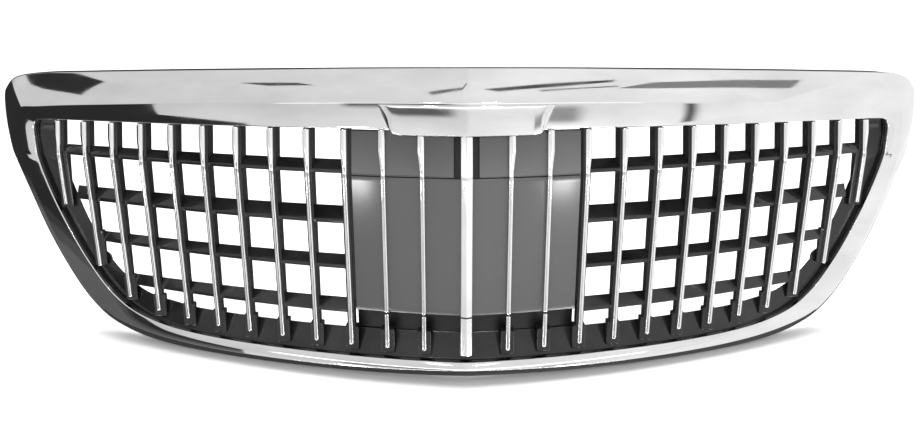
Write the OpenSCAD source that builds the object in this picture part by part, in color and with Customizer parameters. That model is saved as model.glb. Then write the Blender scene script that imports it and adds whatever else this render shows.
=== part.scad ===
// Front grille: a chromed surround, a black insert with louvres, chromed vertical bars
// and a glossy centre cover. X runs across, Y runs from front to back, Z points up.
// The origin is halfway between the two lower bracket holes, on the brackets' rear faces.

/* [Overall] */
// Width over the surround's pillars
overall_w = 982; // [820:2:1150]
// Height of the surround from its lowest to its highest edge
overall_h = 286; // [250:2:330]
// How far the ends sweep back behind the middle
sweep_depth = 160; // [130:1:190]
// Height of the crease above the lower bracket holes, where the face leans back
ridge_z = 142; // [125:1:155]
// Backward lean of the face above the crease, in degrees
upper_rake = 11; // [8:0.5:14]
// Backward lean of the face below the crease, in degrees
lower_rake = 3; // [1:0.5:4]

/* [Surround] */
// Wall thickness of the chromed surround
surround_wall = 3; // [2.5:0.5:4]
// Depth of the return flange behind the surround's outer edge
return_depth = 14; // [10:1:20]
// Straight pieces between two key points of an outline
steps = 4; // [3:1:5]

/* [Bars] */
// Bars on each side of the centre strip, cover strips included
bars_per_side = 12; // [12:1:12]
// Distance from the middle to the first bar
first_bar_x = 38; // [36:0.5:40]
// Distance between two bars
bar_pitch = 33.9; // [33:0.1:34.5]
// Width of a bar below the crease
bar_w = 4; // [3:0.2:5]
// Width of a bar above the crease
bar_top_w = 6; // [5:0.2:7]
// Depth of a bar from front to back
bar_depth = 5; // [4:0.5:6]
// Width of the centre strip
centre_w = 10.5; // [9:0.5:12]

/* [Insert] */
// Depth of the black insert behind the face, in the middle
insert_depth = 24; // [22:1:28]
// Thickness of the upright fin behind a bar
fin_t = 7; // [6:0.5:8]
// Thickness of a louvre slat
slat_t = 3.5; // [3:0.5:4]
// Wall thickness of the insert's border
border_wall = 3; // [2.5:0.5:3.5]

/* [Cover] */
// Half of the centre cover's width
cover_half_w = 100; // [98:0.5:101]
// Height of the cover's lower edge
cover_low_z = 15; // [12:0.5:18]
// Thickness of a cover pane
pane_t = 2.5; // [2:0.5:3]

/* [Brackets] */
// How far a lower bracket hole stands outside the boss that its bracket is screwed to
lower_hole_outset = 7; // [0:0.5:8]
// Distance between the two upper bracket holes
upper_hole_spacing = 500; // [460:2:520]
// Radius of a bracket hole
bracket_hole_r = 3.3; // [3:0.1:3.5]
// Thickness of a bracket's steel plate
bracket_t = 3; // [2:0.5:4]

/* [Hidden] */
SIDES = ["left", "right"];
FIRST_SIDE_BAR = 3;
SIDE_BARS = [FIRST_SIDE_BAR:bars_per_side];
COVER_BARS = [1, 2];

// Gap left between two moulded pieces that meet along a curved face
fit_gap = 0.4;
half_w = overall_w / 2;
// The key points below are drawn for this width and height, and stretched to the real ones
drawn_w = 982;
drawn_h = 286;
stretch_x = overall_w / drawn_w;
stretch_z = overall_h / drawn_h;
// The face's sweep is a shallow V at the middle, bowed towards the ends and eased at the tips
sweep_v = 0.346;
sweep_bow = 0.823;
sweep_ease = 0.171;
// The insert gets thinner towards the ends by this much
depth_taper = 15;
// The lower brackets' rear faces are this far behind the face's sweep at the lower bosses
lower_stand_off = 36.267;
lower_boss = [389 * stretch_x, 25 * stretch_z];
crease_gap = 0.8;

function sweep_share(a) = sweep_v * a + sweep_bow * a * a - sweep_ease * pow(a, 4);
// The middle of the face is this far in front of the brackets' rear faces
mount_setback = sweep_depth * sweep_share(lower_boss.x / half_w) + lower_stand_off;
function sweep_y(x) = sweep_depth * sweep_share(abs(x) / half_w) - mount_setback;
function upper_rake_y(z) = max(0, z - ridge_z) * tan(upper_rake);
function lower_rake_y(z) = max(0, ridge_z - z) * tan(lower_rake);
function face_y(x, z) = sweep_y(x) + upper_rake_y(z) + lower_rake_y(z);
function rear_y(x, z) =
    sweep_y(x) + insert_depth - depth_taper * pow(x / half_w, 2) + upper_rake_y(z);

// Outlines in front view, from the middle of the top round one side to the middle of the
// bottom. The same place in each list is the same station round the ring.
LIP = [
    [0, 184], [105, 183], [250, 181], [380, 179], [422, 178], [436, 176.5], [440.5, 171], [439.5, 158],
    [432, 124], [415, 80], [390, 35], [360, -1], [322, -20], [256, -28], [120, -28.5], [0, -27.5]
];
RIDGE = [
    [0, 206.5], [105, 205.5], [250, 201], [380, 194.5], [432, 191], [454, 189.5], [458, 182], [457, 165],
    [452, 131], [434, 77], [411, 28], [379, -13], [338, -30], [262, -38], [120, -38], [0, -34]
];
EDGE = [
    [0, 234.5], [105, 233.5], [250, 230.5], [380, 226.5], [440, 224], [472, 219.5], [485, 211], [490.5, 197],
    [484, 157], [464, 101], [441, 46], [405, -10], [365, -39], [290, -51], [120, -50], [0, -47]
];
THROAT = [
    [0, 190], [105, 189], [250, 187], [380, 184], [408, 182], [418, 177], [422, 168], [420, 151],
    [404, 108], [388, 70], [364, 31], [330, 5], [292, -3], [250, -6.5], [120, -7.5], [0, -6]
];

// A smooth curve through key points, given as a list of short straight pieces
function curve_point(a, b, c, d, t) =
    0.5 * (2 * b + (c - a) * t + (2 * a - 5 * b + 4 * c - d) * t * t
        + (3 * b - a - 3 * c + d) * t * t * t);
function smooth(points) = concat(
    [
        for (i = [0:len(points) - 2])
            for (s = [0:steps - 1])
                curve_point(points[max(i - 1, 0)], points[i], points[i + 1],
                    points[min(i + 2, len(points) - 1)], s / steps)
    ],
    [points[len(points) - 1]]
);
function stretched(points) = [for (p = points) [p.x * stretch_x, p.y * stretch_z]];
function mirrored(half) = concat(half, [for (i = [len(half) - 2:-1:1]) [-half[i].x, half[i].y]]);
function outline(points) = mirrored(smooth(stretched(points)));
function unit(v) = v / norm(v);
// The outline moved outwards: by low_d along the bottom, growing to high_d a little higher up
function grown(loop, low_d, high_d) = [
    for (i = [0:len(loop) - 1])
        let (ahead = loop[(i + 1) % len(loop)])
        let (behind = loop[(i + len(loop) - 1) % len(loop)])
        let (along = unit(ahead - behind))
        let (share = min(1, max(0, loop[i].y / 20)))
        loop[i] + (low_d + (high_d - low_d) * share) * [-along.y, along.x]
];
function grown_evenly(loop, d) = grown(loop, d, d);
// The outline laid on the face, moved back by dy
function on_face(loop, dy) = [for (p = loop) [p.x, face_y(p.x, p.y) + dy, p.y]];
function on_rear(loop, dy) = [for (p = loop) [p.x, rear_y(p.x, p.y) + dy, p.y]];

// Joins rings of points into one solid; the rings close on themselves, or end in flat caps.
// Seen from the last ring towards the first, each ring's points run clockwise.
module loft(rings, closed) {
    n = len(rings);
    k = len(rings[0]);
    spans = closed ? n : n - 1;
    points = [for (ring = rings) for (p = ring) p];
    sides = [
        for (i = [0:spans - 1])
            for (j = [0:k - 1])
                let (a = i * k + j)
                let (b = i * k + (j + 1) % k)
                let (c = ((i + 1) % n) * k + (j + 1) % k)
                let (d = ((i + 1) % n) * k + j)
                each [[a, b, c], [a, c, d]]
    ];
    caps = closed ? [] : [[for (j = [k - 1:-1:0]) j], [for (j = [0:k - 1]) (n - 1) * k + j]];
    polyhedron(points = points, faces = concat(sides, caps));
}

function rings_of(loops) = [for (i = [0:len(loops[0]) - 1]) [for (loop = loops) loop[i]]];

// An outline in the YZ plane, given as [y, z] points, made into a plate of thickness w at x
module upright(x, w, points) {
    translate([x - w / 2, 0, 0])
        rotate([90, 0, 90])
            linear_extrude(w)
                polygon(points);
}

// Heights that depend on the place along X
lip_low = smooth(stretched([for (i = [15:-1:8]) LIP[i]]));
throat_low = smooth(stretched([for (i = [15:-1:7]) THROAT[i]]));
lip_high = smooth(stretched([for (i = [0:4]) LIP[i]]));
function low_z(curve, x) = lookup(abs(x), curve);

// A bar ends this far below the surround's lip
lip_clear = 1;
// Height of a bar's lower end, for places across
BAR_LOW = [[0, -22], [38, -19.5], [240, -17], [308, -11], [343, -1.5], [377, 28], [411, 91]];
function bar_low_z(x) = lookup(abs(x) / stretch_x, BAR_LOW) * stretch_z;
function bar_high_z(x) = lookup(abs(x), lip_high) - lip_clear;
function bar_x(side, i) = (side == "left" ? -1 : 1) * (first_bar_x + bar_pitch * (i - 1)) * stretch_x;

surround_chrome = [0.82, 0.82, 0.84];
gloss_black = [0.06, 0.06, 0.07];

// ---- surround ----
lip_proud = 2;
ridge_proud = 6;
edge_back = 9;
lip_land = 4;

module surround_frame() {
    lip = outline(LIP);
    ridge = outline(RIDGE);
    edge = outline(EDGE);
    inner_edge = grown_evenly(edge, -surround_wall);
    loops = [
        on_face(lip, -lip_proud),
        on_face(ridge, -ridge_proud),
        on_face(edge, edge_back),
        on_face(edge, edge_back + return_depth),
        on_face(inner_edge, edge_back + return_depth),
        on_face(inner_edge, edge_back + surround_wall),
        on_face(ridge, -ridge_proud + surround_wall),
        on_face(grown_evenly(lip, lip_land), surround_wall),
        on_face(lip, surround_wall)
    ];
    color(surround_chrome) loft(rings_of(loops), true);
}

// ---- nose trim on the middle of the top bar ----
nose_top_w = 75;
nose_low_w = 63;
nose_top_z = 204.5;
nose_low_z = 178.5;
nose_t = 3.1;
// How far the trim's lower and upper edges stand in front of the face
nose_low_proud = 7;
nose_high_proud = 11;
// The trim's lower corners start turning up and finish turning these far from nose_low_w
nose_turn_in = 6;
nose_turn_out = 3;

// Height of the trim's lower edge, as a share of the trim's height
NOSE_EDGE = [
    [0, 0],
    [nose_low_w - nose_turn_in, 0.01],
    [nose_low_w, 0.06],
    [nose_low_w + nose_turn_out, 0.2],
    [nose_top_w, 0.96]
];
function nose_edge_z(x) = lookup(abs(x) / stretch_x, NOSE_EDGE);
function nose_section(x) =
    let (low = (nose_low_z + (nose_top_z - nose_low_z) * nose_edge_z(x)) * stretch_z)
    let (high = nose_top_z * stretch_z)
    let (front_low = face_y(x, low) - nose_low_proud)
    let (front_high = face_y(x, high) - nose_high_proud)
    [
        [x, front_low, low],
        [x, front_high, high],
        [x, front_high + nose_t, high],
        [x, front_low + nose_t, low]
    ];

module nose_trim() {
    span = nose_top_w * stretch_x;
    stops = [0, 0.2, 0.45, 0.7, 0.76, 0.8, 0.84, 0.88, 0.94, 1];
    right = [for (s = stops) s * span];
    left = [for (i = [len(stops) - 1:-1:1]) -stops[i] * span];
    color(surround_chrome) loft([for (x = concat(left, right)) nose_section(x)], false);
}

// ---- black insert: border with its bracket bosses ----
border_front = surround_wall + fit_gap;
border_return = 3;
border_step = border_front + border_return;
border_back = 3;
lip_inset = 1;
flange_low_w = 5;
flange_w = 14;
boss_r = 6;
pilot_r = 2.2;
pilot_depth = 14;
// Cuts run past the faces that they open by this much
overshoot = 1;
boss_sink = 5;
upper_boss_z = 193 * stretch_z;
// The upper brackets' rear faces are this far behind the insert
upper_stand_off = 21.489;
upper_plane_y = rear_y(upper_hole_spacing / 2, upper_boss_z) + upper_stand_off;

module rod(r, x, z, from_y, to_y) {
    translate([x, from_y, z])
        rotate([-90, 0, 0])
            cylinder(r = r, h = to_y - from_y, $fn = 48);
}

module border_shell() {
    lip = outline(LIP);
    throat = outline(THROAT);
    loops = [
        on_face(grown(lip, flange_low_w, flange_w), border_front),
        on_face(grown(lip, flange_low_w, flange_w), border_step + border_wall),
        on_rear(grown_evenly(throat, border_wall), border_back),
        on_rear(throat, border_back),
        on_face(grown_evenly(lip, lip_inset), border_step),
        on_face(grown_evenly(lip, lip_inset), border_front)
    ];
    loft(rings_of(loops), true);
}

// The four places where a bracket is screwed on: [x, z, y of the bracket's front face]
BOSSES = [
    for (s = [-1, 1]) [s * upper_hole_spacing / 2, upper_boss_z, upper_plane_y - bracket_t],
    for (s = [-1, 1]) [s * lower_boss.x, lower_boss.y, -bracket_t]
];

module insert_border() {
    color(gloss_black)
        difference() {
            union() {
                border_shell();
                for (b = BOSSES) rod(boss_r, b.x, b.y, face_y(b.x, b.y) + boss_sink, b.z);
            }
            for (b = BOSSES) rod(pilot_r, b.x, b.y, b.z - pilot_depth, b.z + overshoot);
        }
}

// ---- sockets that hold the bars' feet ----
socket_half_w = 6;
socket_rise = 5;
socket_clear = 3.2;
socket_toe = 1.5;
function socket_top(i) = low_z(throat_low, abs(bar_x("right", i)) + socket_half_w) + socket_rise;

module socket(x, outer_x, top) {
    low = low_z(lip_low, outer_x) + socket_clear;
    rest = low_z(throat_low, outer_x) + socket_clear;
    upright(x, 2 * socket_half_w, [
        [face_y(x, top) + bar_depth, top],
        [rear_y(x, top), top],
        [rear_y(x, rest), rest],
        [face_y(x, low) + bar_depth + socket_toe, low],
        [face_y(x, low) + bar_depth, low]
    ]);
}

module bar_sockets() {
    color(gloss_black) {
        socket(0, socket_half_w, low_z(throat_low, 0) + socket_rise);
        for (side = SIDES)
            for (i = [1:bars_per_side])
                socket(bar_x(side, i), abs(bar_x(side, i)) + socket_half_w, socket_top(i));
    }
}

// ---- louvre grids: upright fins joined by four slats on each side ----
slat_recess = bar_depth + 1;
slat_inset = 1;
// For each slat: height of its front lower edge, rise to its rear upper edge, and where it
// ends along X
SLATS = [[143, 10.5, 404], [97, 14, 397], [54, 11, 370], [11, 12, 336]];

module fin(i) {
    x = bar_x("right", i);
    low = socket_top(i);
    high = low_z(lip_high, x) + lip_inset - fit_gap;
    upright(x, fin_t, [
        [face_y(x, low) + bar_depth, low],
        if (low < ridge_z) [face_y(x, ridge_z) + bar_depth, ridge_z],
        [face_y(x, high) + bar_depth, high],
        [rear_y(x, high), high],
        if (low < ridge_z) [rear_y(x, ridge_z), ridge_z],
        [rear_y(x, low), low]
    ]);
}

function slat_section(x, front_z, rise) = [
    [x, face_y(x, front_z) + slat_recess, front_z],
    [x, face_y(x, front_z) + slat_recess, front_z + slat_t],
    [x, rear_y(x, front_z) - slat_inset, front_z + rise],
    [x, rear_y(x, front_z) - slat_inset, front_z + rise - slat_t]
];

module slat(front_z, rise, to_x) {
    from_x = bar_x("right", FIRST_SIDE_BAR);
    n = ceil((to_x - from_x) / (bar_pitch / 2));
    xs = [for (k = [0:n]) from_x + (to_x - from_x) * k / n];
    loft([for (x = xs) slat_section(x, front_z, rise)], false);
}

module louvre_grid() {
    for (i = SIDE_BARS) fin(i);
    for (s = SLATS) slat(s[0] * stretch_z, s[1] * stretch_z, s[2] * stretch_x);
}

module louvre_grid_right() {
    color(gloss_black) louvre_grid();
}

module louvre_grid_left() {
    color(gloss_black) mirror([1, 0, 0]) louvre_grid();
}

// ---- chromed bars ----
taper_from = 5;
taper_to = 22;

// A bar's face bends at the crease; it widens above it, on the side away from the middle
module bar_body(x, low, high) {
    dir = sign(x);
    inner = -bar_w / 2;
    profile = [
        [face_y(x, low), low],
        if (low < ridge_z) [face_y(x, ridge_z), ridge_z],
        [face_y(x, high), high],
        [face_y(x, high) + bar_depth, high],
        if (low < ridge_z) [face_y(x, ridge_z) + bar_depth, ridge_z],
        [face_y(x, low) + bar_depth, low]
    ];
    front = [
        [inner, low - overshoot],
        [-inner, low - overshoot],
        [-inner, ridge_z + taper_from],
        [inner + bar_top_w, ridge_z + taper_to],
        [inner + bar_top_w, high + overshoot],
        [inner, high + overshoot]
    ];
    intersection() {
        upright(x, 3 * bar_top_w, profile);
        translate([x, half_w, 0])
            rotate([90, 0, 0])
                linear_extrude(2 * overall_w)
                    polygon([for (p = front) [dir * p.x, p.y]]);
    }
}

module bar(side, i) {
    x = bar_x(side, i);
    color(surround_chrome) bar_body(x, bar_low_z(x), bar_high_z(x));
}

// ---- strips over the centre cover, and their feet on the sill ----
strip_seam = 1.5;
strip_low_z = cover_low_z + 1;

module cover_strip(side, i) {
    x = bar_x(side, i);
    color(surround_chrome) bar_body(x, strip_low_z, bar_high_z(x));
}

module strip_foot(side, i) {
    x = bar_x(side, i);
    low = bar_low_z(x);
    high = strip_low_z - strip_seam;
    color(surround_chrome)
        upright(x, bar_w, [
            [face_y(x, low), low],
            [face_y(x, high), high],
            [face_y(x, high) + bar_depth, high],
            [face_y(x, low) + bar_depth, low]
        ]);
}

// The centre strip has a raised spine
spine_drop = 2;
function centre_section(z) = [
    [-centre_w / 2, face_y(0, z) + bar_depth, z],
    [centre_w / 2, face_y(0, z) + bar_depth, z],
    [centre_w / 2, face_y(0, z) + spine_drop, z],
    [0, face_y(0, z), z],
    [-centre_w / 2, face_y(0, z) + spine_drop, z]
];

module cover_strip_centre() {
    stops = [strip_low_z, ridge_z, bar_high_z(0)];
    color(surround_chrome) loft([for (z = stops) centre_section(z)], false);
}

module strip_foot_centre() {
    stops = [bar_low_z(0), strip_low_z - strip_seam];
    color(surround_chrome) loft([for (z = stops) centre_section(z)], false);
}

// ---- centre cover ----
pane_gap = 0.7;
pane_front = bar_depth + pane_gap;
// Straight pieces along a pane and along the carrier
cover_pieces = 12;
pane_gap_x = 11;
pane_high_z = 181 * stretch_z;

function pane_section(x, low, high) = [
    [x, face_y(x, low) + pane_front, low],
    [x, face_y(x, high) + pane_front, high],
    [x, face_y(x, high) + pane_front + pane_t, high],
    [x, face_y(x, low) + pane_front + pane_t, low]
];

cover_reach = cover_half_w * stretch_x;

module pane(from_x, to_x, low, high) {
    n = cover_pieces;
    xs = [for (k = [0:n]) from_x + (to_x - from_x) * k / n];
    loft([for (x = xs) pane_section(x, low, high)], false);
}

pane_tint = [0.3, 0.3, 0.31];

module cover_pane_lower() {
    color(pane_tint) pane(-cover_reach, cover_reach, cover_low_z, ridge_z - crease_gap / 2);
}

module cover_pane_upper_right() {
    color(pane_tint) pane(pane_gap_x, cover_reach, ridge_z + crease_gap / 2, pane_high_z);
}

module cover_pane_upper_left() {
    color(pane_tint) pane(-cover_reach, -pane_gap_x, ridge_z + crease_gap / 2, pane_high_z);
}

// The carrier is a sheet behind the panes, with a shelf and an apron below them
carrier_t = 3;
carrier_gap = 0.3;
carrier_overlap = 1;
carrier_front = pane_front + pane_t + carrier_gap;
apron_tuck = 4;
apron_front = insert_depth - apron_tuck;
apron_low_z = -9;

function carrier_section(x) =
    let (rows = [
        [carrier_front, cover_low_z],
        [carrier_front, ridge_z],
        [carrier_front, pane_high_z],
        [carrier_front + carrier_t, pane_high_z],
        [carrier_front + carrier_t, ridge_z],
        [carrier_front + carrier_t, cover_low_z + carrier_t],
        [apron_front + carrier_t, cover_low_z + carrier_t],
        [apron_front + carrier_t, apron_low_z],
        [apron_front, apron_low_z],
        [apron_front, cover_low_z]
    ])
    [for (r = rows) [x, face_y(x, r[1]) + r[0], r[1]]];

module cover_carrier() {
    n = cover_pieces;
    span = cover_reach + carrier_overlap;
    xs = [for (k = [0:n]) span * (2 * k / n - 1)];
    color(gloss_black) loft([for (x = xs) carrier_section(x)], false);
}

// ---- steel brackets and their screws ----
bracket_steel = [0.55, 0.56, 0.58];
bracket_half_w = 9;
bracket_waist = 7.5;
screw_hole_r = 2.8;
screw_r = 2.1;
screw_head_r = 5;
screw_head_h = 3;
screw_len = 12;

// A flat plate with round ends between a screw hole and a bracket hole, both [x, z]
module bracket_plate(screw, hole, rear_y_pos) {
    run = hole - screw;
    translate([0, rear_y_pos, 0])
        rotate([90, 0, 0])
            linear_extrude(bracket_t)
                difference() {
                    union() {
                        translate(screw) circle(bracket_half_w, $fn = 64);
                        translate(hole) circle(bracket_half_w, $fn = 64);
                        translate(screw)
                            rotate(atan2(run.y, run.x))
                                translate([0, -bracket_waist])
                                    square([norm(run), 2 * bracket_waist]);
                    }
                    translate(screw) circle(screw_hole_r, $fn = 48);
                    translate(hole) circle(bracket_hole_r, $fn = 48);
                }
}

upper_hole_z = 214 * stretch_z;

module upper_bracket(s) {
    x = s * upper_hole_spacing / 2;
    color(bracket_steel) bracket_plate([x, upper_boss_z], [x, upper_hole_z], upper_plane_y);
}

module lower_bracket(s) {
    color(bracket_steel)
        bracket_plate([s * lower_boss.x, lower_boss.y], [s * (lower_boss.x + lower_hole_outset), 0], 0);
}

module upper_bracket_left() upper_bracket(-1);
module upper_bracket_right() upper_bracket(1);
module lower_bracket_left() lower_bracket(-1);
module lower_bracket_right() lower_bracket(1);

module bracket_screws() {
    color(bracket_steel)
        for (b = BOSSES) {
            seat = b.z + bracket_t;
            rod(screw_r, b.x, b.y, seat - screw_len, seat + overshoot);
            rod(screw_head_r, b.x, b.y, seat, seat + screw_head_h);
        }
}

surround_frame();
nose_trim();
insert_border();
bar_sockets();
louvre_grid_left();
louvre_grid_right();
for (side = SIDES)
    for (i = SIDE_BARS)
        bar(side, i);
cover_strip_centre();
strip_foot_centre();
for (side = SIDES)
    for (i = COVER_BARS) {
        cover_strip(side, i);
        strip_foot(side, i);
    }
cover_pane_lower();
cover_pane_upper_left();
cover_pane_upper_right();
cover_carrier();
upper_bracket_left();
upper_bracket_right();
lower_bracket_left();
lower_bracket_right();
bracket_screws();
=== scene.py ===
"""Looks of the front grille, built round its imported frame.

Every shape is worked out in millimetres in the frame's own axes: X across, Y from
front to back, Z up. It becomes metres when a mesh is made. The studio round the
grille is in metres from the start.
"""
import logging
import math
from dataclasses import dataclass, field
from enum import Enum
from typing import Sequence

import bpy
import numpy as np
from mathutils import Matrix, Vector


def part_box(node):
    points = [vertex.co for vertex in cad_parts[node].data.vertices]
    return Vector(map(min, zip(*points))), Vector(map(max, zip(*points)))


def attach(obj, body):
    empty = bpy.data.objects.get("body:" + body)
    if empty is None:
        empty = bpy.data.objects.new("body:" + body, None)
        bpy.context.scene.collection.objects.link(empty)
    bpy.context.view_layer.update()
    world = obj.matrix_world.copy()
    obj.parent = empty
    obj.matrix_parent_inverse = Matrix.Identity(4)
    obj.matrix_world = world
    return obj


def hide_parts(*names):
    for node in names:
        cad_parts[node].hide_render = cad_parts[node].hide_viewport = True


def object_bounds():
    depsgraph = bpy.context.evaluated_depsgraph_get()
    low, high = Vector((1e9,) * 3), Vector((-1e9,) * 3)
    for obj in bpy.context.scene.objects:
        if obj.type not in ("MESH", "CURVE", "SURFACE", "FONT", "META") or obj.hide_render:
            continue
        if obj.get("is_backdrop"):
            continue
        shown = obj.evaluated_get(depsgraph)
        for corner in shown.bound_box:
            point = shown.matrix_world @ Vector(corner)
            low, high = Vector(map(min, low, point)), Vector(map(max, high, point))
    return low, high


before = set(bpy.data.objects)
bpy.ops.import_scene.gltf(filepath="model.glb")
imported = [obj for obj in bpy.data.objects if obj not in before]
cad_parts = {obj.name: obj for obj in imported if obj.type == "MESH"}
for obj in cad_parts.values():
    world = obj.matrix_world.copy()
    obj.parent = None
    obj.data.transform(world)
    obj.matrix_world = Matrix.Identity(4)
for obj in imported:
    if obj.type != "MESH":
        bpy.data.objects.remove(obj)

log = logging.getLogger("grille")

Array = np.ndarray
Point = tuple[float, float]
Place = tuple[float, float, float]
Colour = tuple[float, float, float]
Socket = bpy.types.NodeSocket
MM = 0.001
BODY = "root"
STATIONS = 60


class Slot(Enum):
    """The material slots of the frame's record."""

    SURROUND = "surround_chrome"
    BARS = "bar_chrome"
    INSERT = "insert_black"
    COVER = "cover_gloss"
    STEEL = "bracket_steel"


class Side(Enum):
    """A side of the grille, with its sign along X."""

    LEFT = -1
    RIGHT = 1

    @property
    def word(self) -> str:
        """The side's name as the frame spells it."""
        return self.name.lower()


class Axis(Enum):
    """An axis, with its place in a list of coordinates."""

    X = 0
    Y = 1
    Z = 2


# ---------------------------------------------------------------- the face


@dataclass(frozen=True)
class Face:
    """The swept and creased surface that everything in front follows."""

    half_w: float = 491.0
    sweep_depth: float = 160.0
    setback: float = 152.0
    share: tuple[float, float, float] = (0.346, 0.823, -0.171)
    ridge_z: float = 142.0
    upper_rake: float = 11.0
    lower_rake: float = 3.0
    insert_depth: float = 24.0
    depth_taper: float = 15.0

    def sweep(self, x: Array) -> Array:
        """Depth of the bow.

        It is sweep_depth times the sum of a share of a, of a squared and of a to the
        fourth, where a is |x| over half the width.

        Args:
            x: Places across, in millimetres.

        Returns:
            The depth at each place.
        """
        a = np.abs(x) / self.half_w
        v, bow, ease = self.share
        return self.sweep_depth * (v * a + bow * a**2 + ease * a**4) - self.setback

    def lean(self, z: Array, soft: float = 0.0) -> Array:
        """Extra depth by height: the upper lean's tangent above the crease and the lower one's below it.

        Args:
            z: Heights.
            soft: Half height over which the crease is rounded. The distance from the
                crease becomes the square root of its square plus this one's.

        Returns:
            The extra depth at each height.
        """
        rise = z - self.ridge_z
        up, low = math.tan(math.radians(self.upper_rake)), math.tan(math.radians(self.lower_rake))
        away = np.sqrt(rise**2 + soft**2)
        return (up - low) / 2 * rise + (up + low) / 2 * away

    def front(self, x: Array, z: Array) -> Array:
        """Depth of the face at (x, z): the bow plus the lean."""
        return self.sweep(x) + self.lean(z)

    def rear(self, x: Array, z: Array) -> Array:
        """Depth of the insert's back: the bow, the insert's depth less its taper, and the upper lean."""
        up = np.maximum(0, z - self.ridge_z) * math.tan(math.radians(self.upper_rake))
        return self.sweep(x) + self.insert_depth - self.depth_taper * (x / self.half_w) ** 2 + up


FACE = Face()


# ---------------------------------------------------------------- curves and outlines


def flowing(points: Sequence[Sequence[float]], steps: int) -> Array:
    """A smooth curve through key points.

    Each span is the cubic through its ends whose slope at a point is half the step
    between the point's neighbours.

    Args:
        points: The key points.
        steps: Straight pieces in each span.

    Returns:
        The curve's points, one row each.
    """
    p = np.array(points, float)
    keys = (p[[0, *range(len(p) - 2)]], p[:-1], p[1:], p[[*range(2, len(p)), -1]])
    before, start, end, after = (key[:, None, :] for key in keys)
    t = (np.arange(steps) / steps)[None, :, None]
    once = (end - before) * t
    twice = (2 * before - 5 * start + 4 * end - after) * t**2
    thrice = (3 * start - before - 3 * end + after) * t**3
    spans = 0.5 * (2 * start + once + twice + thrice)
    return np.vstack([spans.reshape(-1, p.shape[1]), p[-1:]])


@dataclass(frozen=True)
class Outline:
    """A ring in front view, symmetric about the middle and given as the key points of its right half."""

    keys: tuple[Point, ...]
    steps: int = 18

    def half(self) -> Array:
        """The right half, from the middle of the top to the middle of the bottom."""
        return flowing(self.keys, self.steps)

    def loop(self) -> Array:
        """The whole ring: the right half, then the left half mirrored and run backwards."""
        half = self.half()
        return np.vstack([half, half[-2:0:-1] * [-1, 1]])

    def top(self, last: int) -> Array:
        """The right half's points as far as a key point."""
        return self.half()[: last * self.steps + 1]

    def bottom(self, first: int) -> Array:
        """The right half's points from a key point on."""
        return self.half()[first * self.steps:]


LIP = Outline((
    (0, 184), (105, 183), (250, 181), (380, 179), (422, 178), (436, 176.5), (440.5, 171), (439.5, 158),
    (432, 124), (415, 80), (390, 35), (360, -1), (322, -20), (256, -28), (120, -28.5), (0, -27.5),
))
RIDGE = Outline((
    (0, 206.5), (105, 205.5), (250, 201), (380, 194.5), (432, 191), (454, 189.5), (458, 182), (457, 165),
    (452, 131), (434, 77), (411, 28), (379, -13), (338, -30), (262, -38), (120, -38), (0, -34),
))
EDGE = Outline((
    (0, 234.5), (105, 233.5), (250, 230.5), (380, 226.5), (440, 224), (472, 219.5), (485, 211), (490.5, 197),
    (484, 157), (464, 101), (441, 46), (405, -10), (365, -39), (290, -51), (120, -50), (0, -47),
))
THROAT = Outline((
    (0, 190), (105, 189), (250, 187), (380, 184), (408, 182), (418, 177), (422, 168), (420, 151),
    (404, 108), (388, 70), (364, 31), (330, 5), (292, -3), (250, -6.5), (120, -7.5), (0, -6),
))
LIP_HIGH = LIP.top(4)
LIP_LOW = LIP.bottom(8)
THROAT_LOW = THROAT.bottom(7)


def unit(v: Array) -> Array:
    """Each vector along the last axis, divided by its own length."""
    return v / (np.linalg.norm(v, axis=-1, keepdims=True) + 1e-12)


def grown(loop: Array, low: float, high: float | None = None, full_z: float = 20.0) -> Array:
    """A ring moved outwards along its own normals, less at the bottom than higher up.

    The distance goes evenly from low at height 0 to high at full_z, and stays so beyond.

    Args:
        loop: The ring's points in front view.
        low: Distance along the bottom.
        high: Distance higher up, the same as low if it is left out.
        full_z: Height from which the distance is high.

    Returns:
        The moved ring.
    """
    high = low if high is None else high
    along = unit(np.roll(loop, -1, 0) - np.roll(loop, 1, 0))
    share = np.clip(loop[:, 1:] / full_z, 0, 1)
    return loop + (low + (high - low) * share) * np.stack([-along[:, 1], along[:, 0]], 1)


def on_front(loop: Array, back: float) -> Array:
    """A ring laid on the face and moved back by a distance."""
    return np.stack([loop[:, 0], FACE.front(loop[:, 0], loop[:, 1]) + back, loop[:, 1]], 1)


def on_rear(loop: Array, back: float) -> Array:
    """A ring laid on the insert's back and moved back by a distance."""
    return np.stack([loop[:, 0], FACE.rear(loop[:, 0], loop[:, 1]) + back, loop[:, 1]], 1)


def height_at(curve: Array, x: float) -> float:
    """Height of a curve over |x|, by straight pieces between its points."""
    order = np.argsort(curve[:, 0])
    return float(np.interp(abs(x), curve[order, 0], curve[order, 1]))


def sections(corners: Sequence[Sequence[Array | float]]) -> Array:
    """Sections x corners x 3, from each corner's X, Y and Z along the run."""
    return np.stack([np.stack(np.broadcast_arrays(*corner), 1) for corner in corners], 1)


def face_sections(x: Array, rows: Sequence[Point]) -> Array:
    """Sections across the face, where a corner (back, z) lies that far behind the face at height z."""
    return sections([(x, FACE.front(x, np.full_like(x, z)) + back, z) for back, z in rows])


SIDE_SHARE = 0.42  # the most of a side that the rounding of one corner takes
SIDE_STOPS = np.array([0.04, 0.35, 0.65, 0.96])  # where a side gets its four more points


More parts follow.
